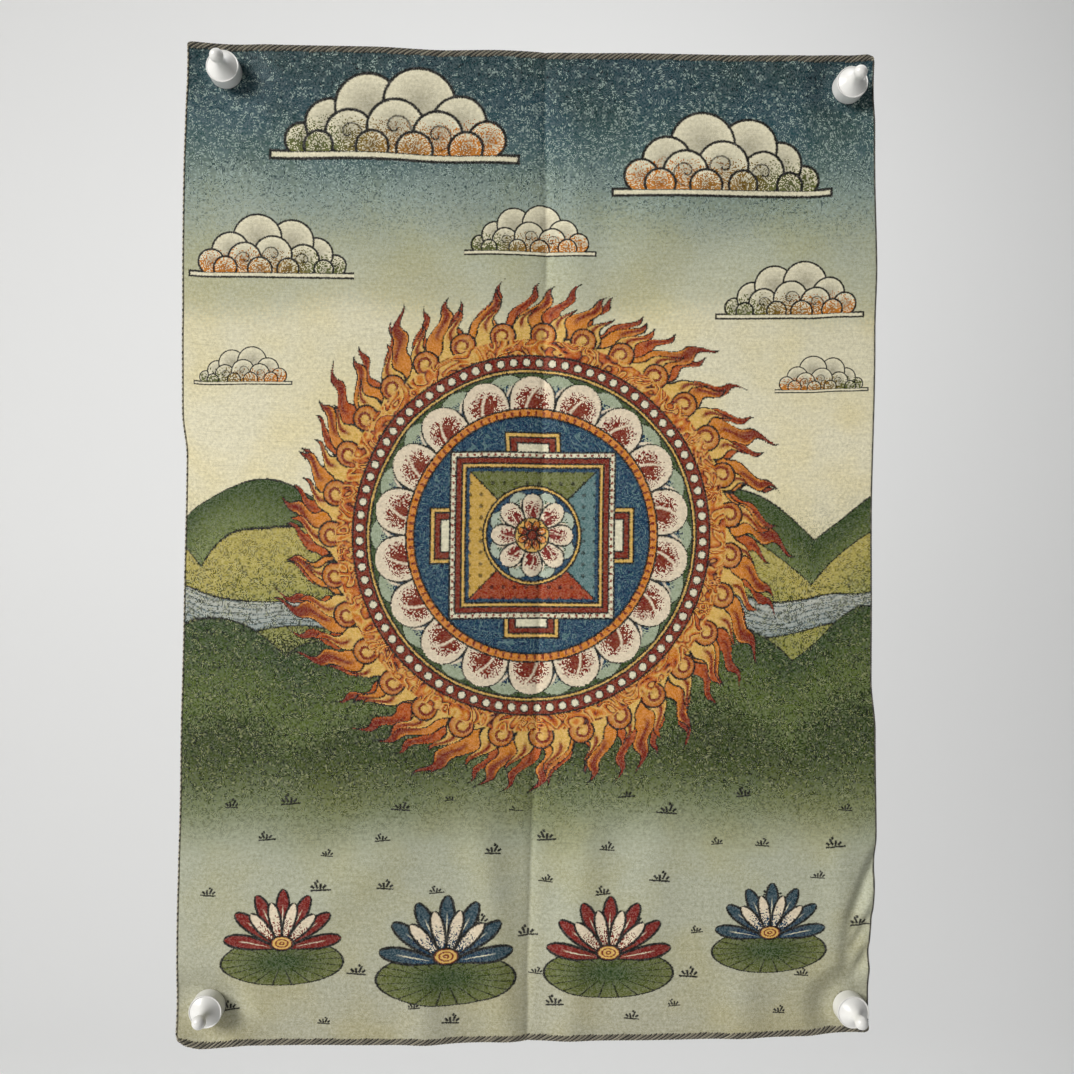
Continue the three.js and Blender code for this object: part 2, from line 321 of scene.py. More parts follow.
def panel_place(from_left, from_top):
    """x, z and stand-off of the cloth's back at distances from the left and top edges.

    Corners are rounded by the square-to-disc map x sqrt(1 - z^2 / 2), then the four edge tables bend the
    rectangle, blended linearly across and down.
    """
    is_left = from_left < PANEL_WIDTH / 2
    is_top = from_top < PANEL_HEIGHT / 2
    radius = np.where(
        is_top,
        np.where(is_left, CORNER_RADIUS["top_left"], CORNER_RADIUS["top_right"]),
        np.where(is_left, CORNER_RADIUS["bottom_left"], CORNER_RADIUS["bottom_right"]),
    )
    inset_x = np.where(is_left, from_left, PANEL_WIDTH - from_left)
    inset_z = np.where(is_top, from_top, PANEL_HEIGHT - from_top)
    reach_x = np.maximum(0, (radius - inset_x) / radius)
    reach_z = np.maximum(0, (radius - inset_z) / radius)
    in_corner = (reach_x > 0) & (reach_z > 0)
    soft_x = np.where(in_corner, radius * (1 - reach_x * np.sqrt(1 - reach_z**2 / 2)), inset_x)
    soft_z = np.where(in_corner, radius * (1 - reach_z * np.sqrt(1 - reach_x**2 / 2)), inset_z)
    across = np.where(is_left, soft_x, PANEL_WIDTH - soft_x) / PANEL_WIDTH
    down = np.where(is_top, soft_z, PANEL_HEIGHT - soft_z) / PANEL_HEIGHT
    left = -PANEL_WIDTH / 2 + eased(LEFT_EDGE, down)
    right = PANEL_WIDTH / 2 + eased(RIGHT_EDGE, down)
    top = MAGNET_DROP + eased(TOP_EDGE, across)
    bottom = MAGNET_DROP - PANEL_HEIGHT + eased(BOTTOM_EDGE, across)
    x = left + (right - left) * across
    z = top + (bottom - top) * down
    return x, z, stand_off(across, down)


def new_piece(name, points, faces, material):
    """A smooth mesh object at the origin from points in millimetres and rows of corner numbers."""
    mesh = bpy.data.meshes.new(name)
    mesh.from_pydata(points * MM, [], faces)
    mesh.polygons.foreach_set("use_smooth", np.ones(len(mesh.polygons), bool))
    mesh.materials.append(material)
    mesh.update()
    piece = bpy.data.objects.new(name, mesh)
    bpy.context.collection.objects.link(piece)
    return piece


def grid_faces(rows, columns, wrap=False):
    """Quads of a grid of rows * columns points, optionally closed from the last row to the first."""
    here = np.arange(rows * columns).reshape(rows, columns)
    below = np.roll(here, -1, axis=0) if wrap else here[1:]
    here = here if wrap else here[:-1]
    return np.stack([here[:, :-1], below[:, :-1], below[:, 1:], here[:, 1:]], axis=-1).reshape(-1, 4)


def hem_squeeze(from_left, from_top):
    """Middle and half thickness of the cloth, pressed thin and pushed forward under the overlocked edges."""
    side = np.minimum(from_left, PANEL_WIDTH - from_left)
    end = np.minimum(from_top, PANEL_HEIGHT - from_top)
    in_side = 1 - smooth(side, *(RIGHT_OVERLOCK["reach"] * share for share in SIDE_SQUEEZE))
    in_end = 1 - smooth(end, *(END_OVERLOCK["reach"] * share for share in END_SQUEEZE))
    middle = CLOTH_MIDDLE + (RIGHT_OVERLOCK["middle"] - CLOTH_MIDDLE) * in_side
    middle = middle + (END_OVERLOCK["middle"] - middle) * in_end
    half = CLOTH_HALF + (SQUEEZED_HALF - CLOTH_HALF) * np.maximum(in_side, in_end)
    return middle, half


def stations(stretches, end):
    """Places from the first stretch's start to the end, even within each stretch at about its own step."""
    starts = [start for start, _ in stretches]
    runs = []
    for (start, step), stop in zip(stretches, [*starts[1:], end]):
        runs.append(np.linspace(start, stop, round((stop - start) / step), endpoint=False))
    return np.concatenate([*runs, [end]])


def panel_sheet(material):
    """The cloth: a front and a back grid over the panel, joined by a rim.

    Columns run from each side edge to the crease, so the middle column lies in it. The point at (from left,
    from top) is the panel's place there, pushed forward by the stand-off and by the cloth's own face or back.
    """
    left_share, right_share = (
        np.concatenate([SIDE_STATIONS, stations(steps, PANEL_WIDTH / 2)]) / (PANEL_WIDTH / 2)
        for steps in (LEFT_STEPS, RIGHT_STEPS)
    )
    body_rows = stations(ROW_STEPS, PANEL_HEIGHT - ROW_STEPS[0][0])
    foot_rows = PANEL_HEIGHT - np.array(END_STATIONS)[::-1]
    rows_down = np.concatenate([END_STATIONS, body_rows, foot_rows])[:, None]
    crease = crease_across(rows_down / PANEL_HEIGHT) * PANEL_WIDTH
    right_side = PANEL_WIDTH - (PANEL_WIDTH - crease) * right_share[-2::-1]
    from_left = np.hstack([crease * left_share, right_side])
    from_top = np.broadcast_to(rows_down, from_left.shape)
    x, z, back = panel_place(from_left, from_top)
    middle, half = hem_squeeze(from_left, from_top)
    front_points = np.stack([x, -(back + middle + half), z], axis=-1).reshape(-1, 3)
    back_points = np.stack([x, -(back + middle - half), z], axis=-1).reshape(-1, 3)
    rows, columns = from_left.shape
    front_faces = grid_faces(rows, columns)
    number = np.arange(rows * columns).reshape(rows, columns)
    border = np.concatenate([number[:-1, 0], number[-1, :-1], number[:0:-1, -1], number[0, :0:-1]])
    following = np.roll(border, -1)
    behind = rows * columns
    rim = np.stack([following, border, border + behind, following + behind], axis=-1)
    faces = np.concatenate([front_faces, front_faces[:, ::-1] + behind, rim])
    piece = new_piece("cloth", np.concatenate([front_points, back_points]), faces.tolist(), material)
    design = np.stack([from_left - PANEL_WIDTH / 2, PANEL_HEIGHT / 2 - from_top], axis=-1).reshape(-1, 2)
    return piece, np.concatenate([design, design])


def drift(waves, at, number):
    """Slow unevenness of one thread: a sum of size * sin(rate * at + shift * number)."""
    return sum(size * np.sin(rate * at + shift * number) for size, rate, shift in waves)


def overlock(edge, material):
    """Two threads wound side by side round one edge of the panel.

    At phase p of a turn the thread lies from the edge by its overhang to its reach as (1 + cos 2 pi p) / 2,
    and in front of the hem's middle by path * sin 2 pi p. It runs along by its cross on the face, and back on
    the other side to one pitch from where it began.
    """
    is_end = edge in ("top", "bottom")
    facts = OVERLOCKS[edge]
    length = PANEL_WIDTH if is_end else PANEL_HEIGHT
    pitch = 2 * facts["spacing"]
    cross = facts["cross"]
    turns = int((length + cross) / pitch) + 1
    phase = np.arange(turns * THREAD_STEPS + 1) / THREAD_STEPS
    wave, rise = np.cos(2 * pi * phase), np.sin(2 * pi * phase)
    crossed = np.where(phase % 1 < 0.5, cross * (1 - wave) / 2, cross + (pitch - cross) * (1 + wave) / 2)
    outward = {"top": (0, 0, 1), "bottom": (0, 0, -1), "left": (-1, 0, 0), "right": (1, 0, 0)}[edge]
    around = -wave[:, None] * outward + rise[:, None] * (0, -1, 0)
    ring = -2 * pi * np.arange(THREAD_SIDES) / THREAD_SIDES
    all_points, all_faces, all_threads = [], [], []
    for number, shade in enumerate(facts["shades"]):
        uneven = drift(STITCH_DRIFT, phase, number)
        along = np.floor(phase) * pitch + crossed + number * facts["spacing"] + uneven
        along = np.clip(along + (length - turns * pitch - cross) / 2, THREAD_END, length - THREAD_END)
        reach = facts["reach"] * (1 + 0.5 * uneven)
        inset = -EDGE_OVERHANG + (reach + EDGE_OVERHANG) * (1 + wave) / 2
        from_left, from_top = {
            "top": (along, inset),
            "bottom": (PANEL_WIDTH - along, PANEL_HEIGHT - inset),
            "left": (inset, along),
            "right": (PANEL_WIDTH - inset, along),
        }[edge]
        x, z, back = panel_place(from_left, from_top)
        centre = np.stack([x, -(back + facts["middle"] + facts["path"] * rise), z], axis=-1)
        tangent = np.gradient(centre, axis=0)
        wide = np.cross(tangent, around)
        wide = wide / np.linalg.norm(wide, axis=1, keepdims=True)
        deep = np.cross(wide, tangent)
        deep = deep / np.linalg.norm(deep, axis=1, keepdims=True)
        ring_wide, ring_deep = np.cos(ring)[:, None], np.sin(ring)[:, None]
        across = ring_wide[..., None] * wide * facts["width"]
        points = centre + across + ring_deep[..., None] * deep * facts["depth"]
        start = sum(len(block) for block in all_points)
        quads = grid_faces(THREAD_SIDES, len(phase), wrap=True) + start
        caps = start + np.arange(THREAD_SIDES * len(phase)).reshape(THREAD_SIDES, -1)
        all_faces += quads.tolist() + [caps[::-1, 0].tolist(), caps[:, -1].tolist()]
        all_points.append(points.reshape(-1, 3))
        run = np.cumsum(np.linalg.norm(tangent, axis=1))
        blank = np.zeros((THREAD_SIDES, len(phase)))
        thread = np.stack([blank + run, blank + ring_wide, blank + ring_deep], axis=-1)
        # The tint is the thread's shade with slow unevenness. On the left and right edges it also holds
        # painted light and painted shade.
        tint = shade + drift(SHADE_DRIFT, np.floor(phase), number)
        all_threads.append((thread.reshape(-1, 3), np.stack([blank + tint] * 3, axis=-1).reshape(-1, 3)))
    piece = new_piece("overlock_" + edge, np.concatenate(all_points), all_faces, material)
    keep_vectors(piece, "thread", np.concatenate([thread for thread, _ in all_threads]))
    keep_vectors(piece, "tint", np.concatenate([tint for _, tint in all_threads]))
    return piece


def magnet_profile():
    """Radius and height along a push magnet's outline.

    A drum with a sunk top carries a cone with radius falling as (1 - t)^flare, and a ball. The outline is cut
    into even steps, and a short running mean rounds its corners.
    """
    knob_middle = MAGNET_TALL - MAGNET_KNOB_RADIUS
    neck_angle = pi - np.arcsin(MAGNET_NECK_RADIUS / MAGNET_KNOB_RADIUS)
    neck_height = knob_middle + MAGNET_KNOB_RADIUS * cos(neck_angle)
    t = np.linspace(0, 1, 40)
    cone = MAGNET_NECK_RADIUS + (MAGNET_SHOULDER_RADIUS - MAGNET_NECK_RADIUS) * (1 - t) ** MAGNET_FLARE
    angle = np.linspace(neck_angle, 0, 40)[1:]
    ball = MAGNET_KNOB_RADIUS * np.sin(angle)
    ball_height = knob_middle + MAGNET_KNOB_RADIUS * np.cos(angle)
    drum = [0, MAGNET_BASE_RADIUS, MAGNET_BASE_RADIUS, MAGNET_RIM_RADIUS]
    drum_height = [0, 0, MAGNET_BASE_TALL, MAGNET_BASE_TALL]
    cone_foot = MAGNET_BASE_TALL - MAGNET_DISH
    cone_height = cone_foot + (neck_height - cone_foot) * t
    radius = np.concatenate([drum, cone, ball])
    height = np.concatenate([drum_height, cone_height, ball_height])
    run = np.concatenate([[0], np.cumsum(np.hypot(np.diff(radius), np.diff(height)))])
    even = np.linspace(0, run[-1], int(run[-1] / PROFILE_STEP))
    window = np.ones(PROFILE_ROUND) / PROFILE_ROUND
    margin = PROFILE_ROUND // 2
    rounded = []
    for values in (radius, height):
        steps = np.pad(np.interp(even, run, values), margin, mode="reflect", reflect_type="odd")
        rounded.append(np.convolve(steps, window, mode="valid"))
    return rounded


def magnet(name, material):
    """A push magnet turned about the line out of the wall, with a single point at each end of the axis."""
    x, z = MAGNETS[name]
    radius, height = magnet_profile()
    turn = 2 * pi * np.arange(MAGNET_SIDES) / MAGNET_SIDES
    ring_radius, ring_height = radius[1:-1], height[1:-1]
    blank = np.zeros((MAGNET_SIDES, len(ring_radius)))
    around_x = np.cos(turn)[:, None] * ring_radius
    around_z = np.sin(turn)[:, None] * ring_radius
    rings = np.stack([around_x, blank - ring_height, around_z], axis=-1).reshape(-1, 3)
    poles = [(0, -height[0], 0), (0, -height[-1], 0)]
    points = np.concatenate([rings, poles]) + (x, -MAGNET_BASE, z)
    faces = grid_faces(MAGNET_SIDES, len(ring_radius), wrap=True).tolist()
    number = np.arange(len(rings)).reshape(MAGNET_SIDES, -1)
    for column, pole, way in ((0, len(rings), 1), (-1, len(rings) + 1, -1)):
        ring = number[:, column]
        following = np.roll(ring, -1)
        faces += np.stack([ring, np.full(MAGNET_SIDES, pole), following], axis=-1)[:, ::way].tolist()
    return new_piece(name + "_form", points, faces, material)


def keep_vectors(piece, name, vectors):
    """Stores one vector for each point of the mesh, for its material to read."""
    layer = piece.data.attributes.new(name, "FLOAT_VECTOR", "POINT")
    layer.data.foreach_set("vector", vectors.astype(np.float32).ravel())


def motif_frame(design, motifs, reach_x, reach_y):
    """Local coordinates of the nearest motif at each point of the design.

    Each motif is a row of across, up, size and flip. The local point is (design - place) / size, mirrored
    where flip is -1, and the third number is 1 within the motif's reach and 0 outside it.
    """
    across, up, size, flip = np.array(motifs, float).T
    local_x = (design[:, :1] - across) / size * flip
    local_y = (design[:, 1:] - up) / size
    nearest = np.argmin(np.hypot(local_x / reach_x, local_y / reach_y), axis=1)
    each = np.arange(len(design))
    x, y = local_x[each, nearest], local_y[each, nearest]
    near = (np.abs(x) < reach_x) & (np.abs(y) < reach_y)
    return np.stack([x, y, near], axis=-1)


def bake_map(piece, design, share):
    """Lays the front and the back of the cloth side by side in the map named OFBake."""
    flat = (design + (PANEL_WIDTH / 2, PANEL_HEIGHT / 2)) / PANEL_HEIGHT
    half = len(flat) // 2
    flat[half:] = flat[half:] * share + (PANEL_WIDTH / PANEL_HEIGHT + BAKE_MARGIN, 0)
    flat = flat * (1 - 2 * BAKE_MARGIN) + BAKE_MARGIN
    corners = np.empty(len(piece.data.loops), int)
    piece.data.loops.foreach_get("vertex_index", corners)
    layer = piece.data.uv_layers.new(name="OFBake")
    layer.data.foreach_set("uv", flat[corners].astype(np.float32).ravel())


class Field:
    """One shader value over the surface. Arithmetic on it adds Math nodes."""

    def __init__(self, loom, socket):
        self.loom = loom
        self.socket = socket

    def math(self, operation, *others, clamp=False):
        settings = {"operation": operation, "use_clamp": clamp}
        return self.loom.node("ShaderNodeMath", settings, dict(enumerate((self, *others))))

    def __add__(self, other):
        return self.math("ADD", other)

    __radd__ = __add__

    def __sub__(self, other):
        return self.math("SUBTRACT", other)

    def __rsub__(self, other):
        return self.math("MULTIPLY_ADD", -1, other)

    def __mul__(self, other):
        return self.math("MULTIPLY", other)

    __rmul__ = __mul__

    def __pow__(self, other):
        return self.math("POWER", other)

    def __abs__(self):
        return self.math("ABSOLUTE")

    def scaled(self, gain, offset, clamp=False):
        """gain * value + offset."""
        return self.math("MULTIPLY_ADD", gain, offset, clamp=clamp)

    def ramp(self, low, high):
        """0 at low, 1 at high, straight between and level outside."""
        return self.scaled(1 / (high - low), -low / (high - low), clamp=True)

    def inside(self, limit=0.0, soft=0.3):
        """1 where the value is under the limit, 0 above it."""
        return self.scaled(-1 / soft, limit / soft + 0.5, clamp=True)

    def line(self, half, soft=0.3):
        """1 within half of nought on either side."""
        return abs(self).inside(half, soft)

    def fract(self):
        return self.math("FRACT")

    def cell(self):
        """Place within its cell of length 1, from -0.5 to 0.5."""
        return self.fract() - 0.5

    def hypot(self, other):
        """Length of the two numbers as a vector."""
        return (self * self + other * other).math("SQRT")

    def over(self, threshold):
        return self.math("GREATER_THAN", threshold)


class Loom:
    """A material's node tree. node() adds any node and gives back one of its outputs as a Field."""

    def __init__(self, name):
        self.material = bpy.data.materials.new(name)
        self.material.use_nodes = True
        self.tree = self.material.node_tree
        self.tree.nodes.clear()

    def node(self, kind, settings, inputs, output=0):
        made = self.tree.nodes.new(kind)
        for key, value in settings.items():
            if key == "stops":
                self.set_stops(made.color_ramp, value)
            else:
                setattr(made, key, value)
        for key, value in inputs.items():
            if isinstance(value, Field):
                self.tree.links.new(value.socket, made.inputs[key])
            else:
                made.inputs[key].default_value = value
        return Field(self, made.outputs[output])

    @staticmethod
    def set_stops(color_ramp, stops):
        for _ in stops[2:]:
            color_ramp.elements.new(0.5)
        for element, (position, color) in zip(color_ramp.elements, stops):
            element.position = position
            element.color = color

    def attribute(self, name):
        return self.node("ShaderNodeAttribute", {"attribute_name": name}, {}, "Vector")

    def split(self, vector):
        """The three numbers of a vector. The first call adds the node and the others share it."""
        first = self.node("ShaderNodeSeparateXYZ", {}, {0: vector})
        outputs = first.socket.node.outputs
        return tuple(Field(self, socket) for socket in outputs)

    def random_in_cells(self, vector, size):
        """Three random numbers for each cell of a grid of that size, and the cell's corner."""
        cell = self.node("ShaderNodeVectorMath", {"operation": "SNAP"}, {0: vector, 1: size})
        color = self.node("ShaderNodeTexWhiteNoise", {"noise_dimensions": "3D"}, {"Vector": cell}, "Color")
        red = self.node("ShaderNodeSeparateColor", {}, {0: color})
        return tuple(Field(self, socket) for socket in red.socket.node.outputs[:3]), cell

    def noise(self, vector, scale, detail=0.0, distortion=0.0):
        inputs = {"Vector": vector, "Scale": scale, "Detail": detail, "Distortion": distortion}
        return self.node("ShaderNodeTexNoise", {}, inputs, 0)

    def stretched(self, vector, scale):
        return self.node("ShaderNodeMapping", {"vector_type": "POINT"}, {"Vector": vector, "Scale": scale})

    def mix(self, under, over, mask):
        """The colour over laid on the colour under, where the mask is 1."""
        return self.node("ShaderNodeMix", {"data_type": "RGBA"}, {0: mask, 6: under, 7: over}, 2)

    def inked(self, color, fill, away, edge=0.0, line=LINE, soft=0.3, mask=1.0):
        """A filled form with an inked rim, on a colour. The form is where away is under the edge."""
        rim = away.inside(edge + line, soft) * mask
        body = away.inside(edge - line, soft) * mask
        return self.mix(self.mix(color, INK, rim), fill, body)

    def wash(self, stops, place):
        """A colour ramp with rows of place and colour."""
        return self.node("ShaderNodeValToRGB", {"stops": stops}, {0: place})

    def bump(self, height, strength, distance):
        inputs = {"Strength": strength, "Distance": distance, "Height": height}
        return self.node("ShaderNodeBump", {}, inputs)

    def blend(self, under, over, mask):
        """The number over laid on the number under, where the mask is 1."""
        return self.node("ShaderNodeMix", {"data_type": "FLOAT"}, {0: mask, 2: under, 3: over}, 0)

    def tinted(self, color, tint, mask):
        """A colour multiplied by a second one, where the mask is 1."""
        settings = {"data_type": "RGBA", "blend_type": "MULTIPLY"}
        return self.node("ShaderNodeMix", settings, {0: mask, 6: color, 7: tint}, 2)

    def times(self, color, tone):
        """A colour darkened or lightened by a number."""
        grey = self.node("ShaderNodeCombineColor", {}, {0: tone, 1: tone, 2: tone})
        return self.tinted(color, grey, 1.0)

    def flecked(self, color, tone, fleck):
        """A colour darkened or lightened by a number, with a second number added to it."""
        settings = {"operation": "MULTIPLY_ADD"}
        sums = self.node("ShaderNodeVectorMath", settings, {0: color, 1: tone, 2: fleck}, "Vector")
        lowest = (YARN_DARKEST, YARN_DARKEST, YARN_DARKEST)
        return self.node("ShaderNodeVectorMath", {"operation": "MAXIMUM"}, {0: sums, 1: lowest}, "Vector")

    def distance(self, vector, center):
        return self.node("ShaderNodeVectorMath", {"operation": "DISTANCE"}, {0: vector, 1: center}, "Value")


def dye(red, green, blue):
    """Linear thread colour from a screen colour of 0 to 255, lifted to allow for the light on the cloth."""
    screen = np.array([red, green, blue]) / 255
    linear = np.where(screen <= 0.04045, screen / 12.92, ((screen + 0.055) / 1.055) ** 2.4)
    return (*np.minimum(linear * DYE_GAIN, 1).tolist(), 1.0)


INK = dye(24, 22, 15)
CREAM = dye(206, 200, 174)
PALE = dye(208, 194, 170)
TEAL = dye(92, 118, 118)
SLATE = dye(46, 64, 68)
LAPIS = dye(34, 66, 86)
RUST = dye(116, 50, 24)
EMBER = dye(166, 86, 36)
ORANGE = dye(190, 122, 54)
GOLD = dye(200, 164, 92)
OLIVE = dye(102, 107, 66)
MOSS = dye(64, 78, 46)
STRAW = dye(166, 154, 88)
ROSE = dye(116, 42, 32)
WARM_TINT = (1.0, 0.96, 0.83, 1.0)

# Screen colours of the ground from the bottom edge up
GROUND_WASH = (
    (0.0, (164, 162, 141)),
    (0.12, (166, 167, 147)),
    (0.19, (160, 163, 143)),
    (0.235, (114, 122, 90)),
    (0.28, (70, 81, 46)),
    (0.38, (54, 64, 34)),
    (0.45, (88, 94, 54)),
    (0.49, (204, 198, 170)),
    (0.6, (208, 202, 175)),
    (0.72, (200, 195, 168)),
    (0.742, (174, 174, 150)),
    (0.8, (158, 163, 144)),
    (0.85, (124, 138, 130)),
    (0.885, (74, 96, 98)),
    (0.93, (54, 76, 82)),
    (1.0, (46, 66, 72)),
)

# Rows of hills from the back: foot, tallness, width, shift along, crest colour, foot colour
HILL_ROWS = (
    (4, 20, 66, 12, MOSS, dye(116, 126, 80)),
    (-15, 24, 84, 50, STRAW, dye(136, 136, 76)),
    (-50, 18, 72, 31, MOSS, dye(88, 100, 56)),
)

# Lobes of a cloud from the back row to the front: across, up, radius
CLOUD_LOBES = (
    (-0.98, -0.18, 0.17),
    (-0.68, 0.0, 0.26),
    (-0.3, 0.2, 0.34),
    (0.24, 0.24, 0.38),
    (0.66, 0.04, 0.29),
    (0.96, -0.14, 0.2),
    (-0.48, -0.1, 0.25),
    (0.0, -0.02, 0.3),
    (0.44, -0.09, 0.26),
    (-0.8, -0.24, 0.15),
    (-0.24, -0.24, 0.17),
    (0.2, -0.25, 0.19),
    (0.74, -0.23, 0.18),
)
CURLED_LOBES = (6, 7, 8)
CLOUD_BASE = -0.3

# Motifs: across, up, size, flip
CLOUDS = (
    (-60, 181, 41, 1),
    (82, 166, 37, -1),
    (-112, 124, 27, -1),
    (112, 108, 25, 1),
    (-2, 134, 22, 1),
    (-124, 74, 16, 1),
    (126, 72, 16, -1),
)
BLOSSOMS = (
    (-105, -173, 26, 1),
    (-35, -180, 30, 1),
    (35, -179, 28, -1),
    (105, -171, 25, -1),
)
BLOSSOM_STEP = 70
MOTIF_REACH = {"cloud": (1.36, 0.7), "blossom": (1.1, 1.1), "tuft": (4.6, 4.2)}

# Dabs of a grass tuft: foot across, lean, where it starts and ends along its lean
TUFT_DABS = (
    (-0.6, -0.75, 0.9, 2.6),
    (-0.3, -0.1, 0.3, 2.3),
    (0.3, 0.45, 0.6, 3.2),
    (0.9, 0.95, 1.0, 2.5),
    (-0.2, 0.3, 2.7, 3.7),
)
TUFT_ROWS = 6
TUFT_COLUMNS = 9
TUFT_STEP = 32
TUFT_TOP = -112
TUFT_DROP = 18

# Rings of flames from the back: count, turn, root, tallness, outer colour, inner colour
FLAMES = (
    (41, 0.0, 89, 26, RUST, EMBER),
    (29, 0.5, 88, 28, RUST, ORANGE),
    (37, 0.2, 86, 20, EMBER, GOLD),
)
FLAME_LEAN = 0.0011
FLAME_WAVE = 0.55
FLAME_SWAY = 0.0022
FLAME_SLANT = 0.5
STREAM_DROP = 30
STREAM_HALF = 7


def ground(loom, v, vector, chance):
    """Sky, haze and meadow in bands from top to bottom, dithered where they meet, with worm-like flecks."""
    drift = loom.noise(vector, 0.014, 1.0)
    height = v.scaled(1 / PANEL_HEIGHT, 0.5) + drift.scaled(0.06, -0.03)
    stops = [(place, dye(*color)) for place, color in GROUND_WASH]
    color = loom.wash(stops, height + chance.scaled(0.024, -0.012))
    warm = loom.noise(vector, 0.03, 2.0).ramp(0.42, 0.64)
    color = loom.tinted(color, WARM_TINT, warm)
    worm = loom.noise(vector, 0.95, 0.0, 0.5) - 0.5
    patch = loom.noise(vector, 0.4, 2.0)
    return color, height, worm, patch


def sky_flecks(loom, color, height, worm, patch):
    """Short pale threads over the dark sky, closest together where it pales, and dark ones below that."""
    amount = height.ramp(1.0, 0.85).scaled(-0.2, 0.585)
    light = worm.line(0.05, 0.03) * (patch - amount).over(0)
    color = loom.mix(color, dye(142, 158, 150), light * height.ramp(0.81, 0.86) * 0.85)
    dusk = height.ramp(0.785, 0.87) * height.ramp(0.92, 0.87)
    dark = (worm - 0.15).line(0.06, 0.03) * (patch - 0.46).over(0)
    return loom.mix(color, SLATE, dark * dusk * 0.9)


def meadow_flecks(loom, color, height, worm, patch):
    """Dark and straw-coloured blades flecked through the meadow."""
    lush = height.ramp(0.19, 0.26) * height.ramp(0.56, 0.46)
    dark = worm.line(0.07, 0.03) * (patch - 0.44).over(0)
    color = loom.mix(color, dye(36, 42, 24), dark * lush * 0.75)
    blades = (worm - 0.14).line(0.06, 0.03) * (patch - 0.53).over(0)
    return loom.mix(color, dye(150, 152, 110), blades * lush * 0.5)


def stream(loom, color, u, v):
    """A pale river between the hills with long ripple lines."""
    along = v + (u * 0.09).math("SINE") * 3 + STREAM_DROP
    water = loom.mix(dye(168, 170, 160), dye(142, 150, 146), along.ramp(6, -6))
    ripple = (along * 0.42 + (u * 0.31).math("SINE") * 0.2).cell()
    water = loom.mix(water, dye(74, 92, 96), ripple.line(0.1, 0.06) * 0.8)
    return loom.inked(color, water, abs(along), STREAM_HALF)


def hill_row(loom, color, u, v, chance, row):
    """Parabola arches side by side, inked along the top, that fade in dithered steps into the meadow."""
    foot, tall, width, shift, crest_color, foot_color = row
    along = u.scaled(1 / width, shift / width).cell() * 2
    below = v - (along * along).scaled(-tall, foot + tall)
    hill = loom.mix(crest_color, foot_color, (below + chance * 10).ramp(0, -tall * 1.2))
    fade = below.scaled(1 / tall, 2.4) + chance.scaled(0.8, -0.4)
    color = loom.mix(color, hill, below.inside() * fade.ramp(0, 0.5))
    return loom.mix(color, INK, below.line(LINE))


def cloud(loom, color, vector, near, chance):
    """Overlapping lobes on a flat base line, inked round their rims, with curled lines and a dusted foot."""
    line = 0.016
    soft = 0.012
    x, y, _ = loom.split(vector)
    above = (y - CLOUD_BASE).over(0)
    tail = (abs(x) - 1.3).math("MAXIMUM", abs(y - CLOUD_BASE + 0.035) - 0.04)
    cover = tail.inside(line, soft)
    tone = tail.inside(-line, soft)
    for number, (across, up, radius) in enumerate(CLOUD_LOBES):
        away = loom.distance(vector, (across, up, 0))
        rim = away.inside(radius + line, soft) * above
        body = away.inside(radius - line, soft) * above
        shade = away.scaled(0.5 / radius, 0.55, clamp=True)
        if number in CURLED_LOBES:
            turn = (y - up).math("ARCTAN2", x - across).scaled(0.5 / pi, 0.5)
            curl = (turn + away * (1.9 / radius)).cell()
            shade = shade - curl.line(0.07, 0.06) * away.inside(radius * 0.66, soft) * 0.6
        tone = loom.blend(tone, 0.0, rim)
        tone = loom.blend(tone, shade, body)
        cover = cover.math("MAXIMUM", rim)
    dust = (y.ramp(0.1, CLOUD_BASE) * 0.85).math("GREATER_THAN", chance) * above
    skin = loom.mix(CREAM, loom.mix(OLIVE, ORANGE, x.scaled(0.8, 0.5)), dust)
    skin = loom.mix(INK, skin, tone)
    return loom.mix(color, skin, cover * near)


def ring_cell(turn, count, phase=0.0):
    """Place within one of count equal cells round a circle, from -0.5 to 0.5."""
    return turn.scaled(count, phase).cell()


def ring_spot(r, turn, count, phase, middle):
    """Place about the nearest of count spots on a circle: along it, out from it, and the distance."""
    along = ring_cell(turn, count, phase) * (2 * pi * middle / count)
    out = r - middle
    return along, out, along.hypot(out)


def flame_tongues(loom, color, r, turn, count, phase, root, tall, outer, inner):
    """A ring of wavy flames of uneven height, each (1 - |2t|)^1.5 tall, where t sways with the radius."""
    rise = r - root
    sway = (rise * FLAME_WAVE + phase).math("SINE") * FLAME_SWAY + rise * FLAME_LEAN
    place = (turn + sway).scaled(count, phase)
    t = place.cell()
    number = place.math("FLOOR")
    own = loom.node("ShaderNodeTexWhiteNoise", {"noise_dimensions": "1D"}, {"W": number}, "Value")
    peak = abs(t).scaled(-2, 1) ** 1.5 * own.scaled(0.4, 0.6)
    beyond = (rise - peak * tall) * FLAME_SLANT
    flame = loom.mix(outer, inner, rise.ramp(tall * 0.6, tall * 0.2))
    flame = loom.mix(flame, inner, beyond.line(1.6) * rise.ramp(tall * 0.7, tall * 0.5))
    vein = t.line(0.05, 0.05) * rise.ramp(tall * 0.15, tall * 0.3) * rise.ramp(tall * 0.8, tall * 0.6)
    flame = loom.mix(flame, RUST, vein)
    return loom.inked(color, flame, beyond)


def flame_curls(loom, color, r, turn, count, phase, middle, radius):
    """A ring of round curls, each with a spiral arm where angle / 2 pi + 1.5 away / radius is a half."""
    along, out, away = ring_spot(r, turn, count, phase, middle)
    spin = out.math("ARCTAN2", along).scaled(0.5 / pi, 0.5) + away * (1.5 / radius)
    arm = spin.cell()
    curl = loom.mix(GOLD, EMBER, away.ramp(radius * 0.2, radius))
    curl = loom.mix(curl, RUST, arm.line(0.17, 0.08) * away.ramp(radius * 0.1, radius * 0.25))
    return loom.inked(color, curl, away, radius)


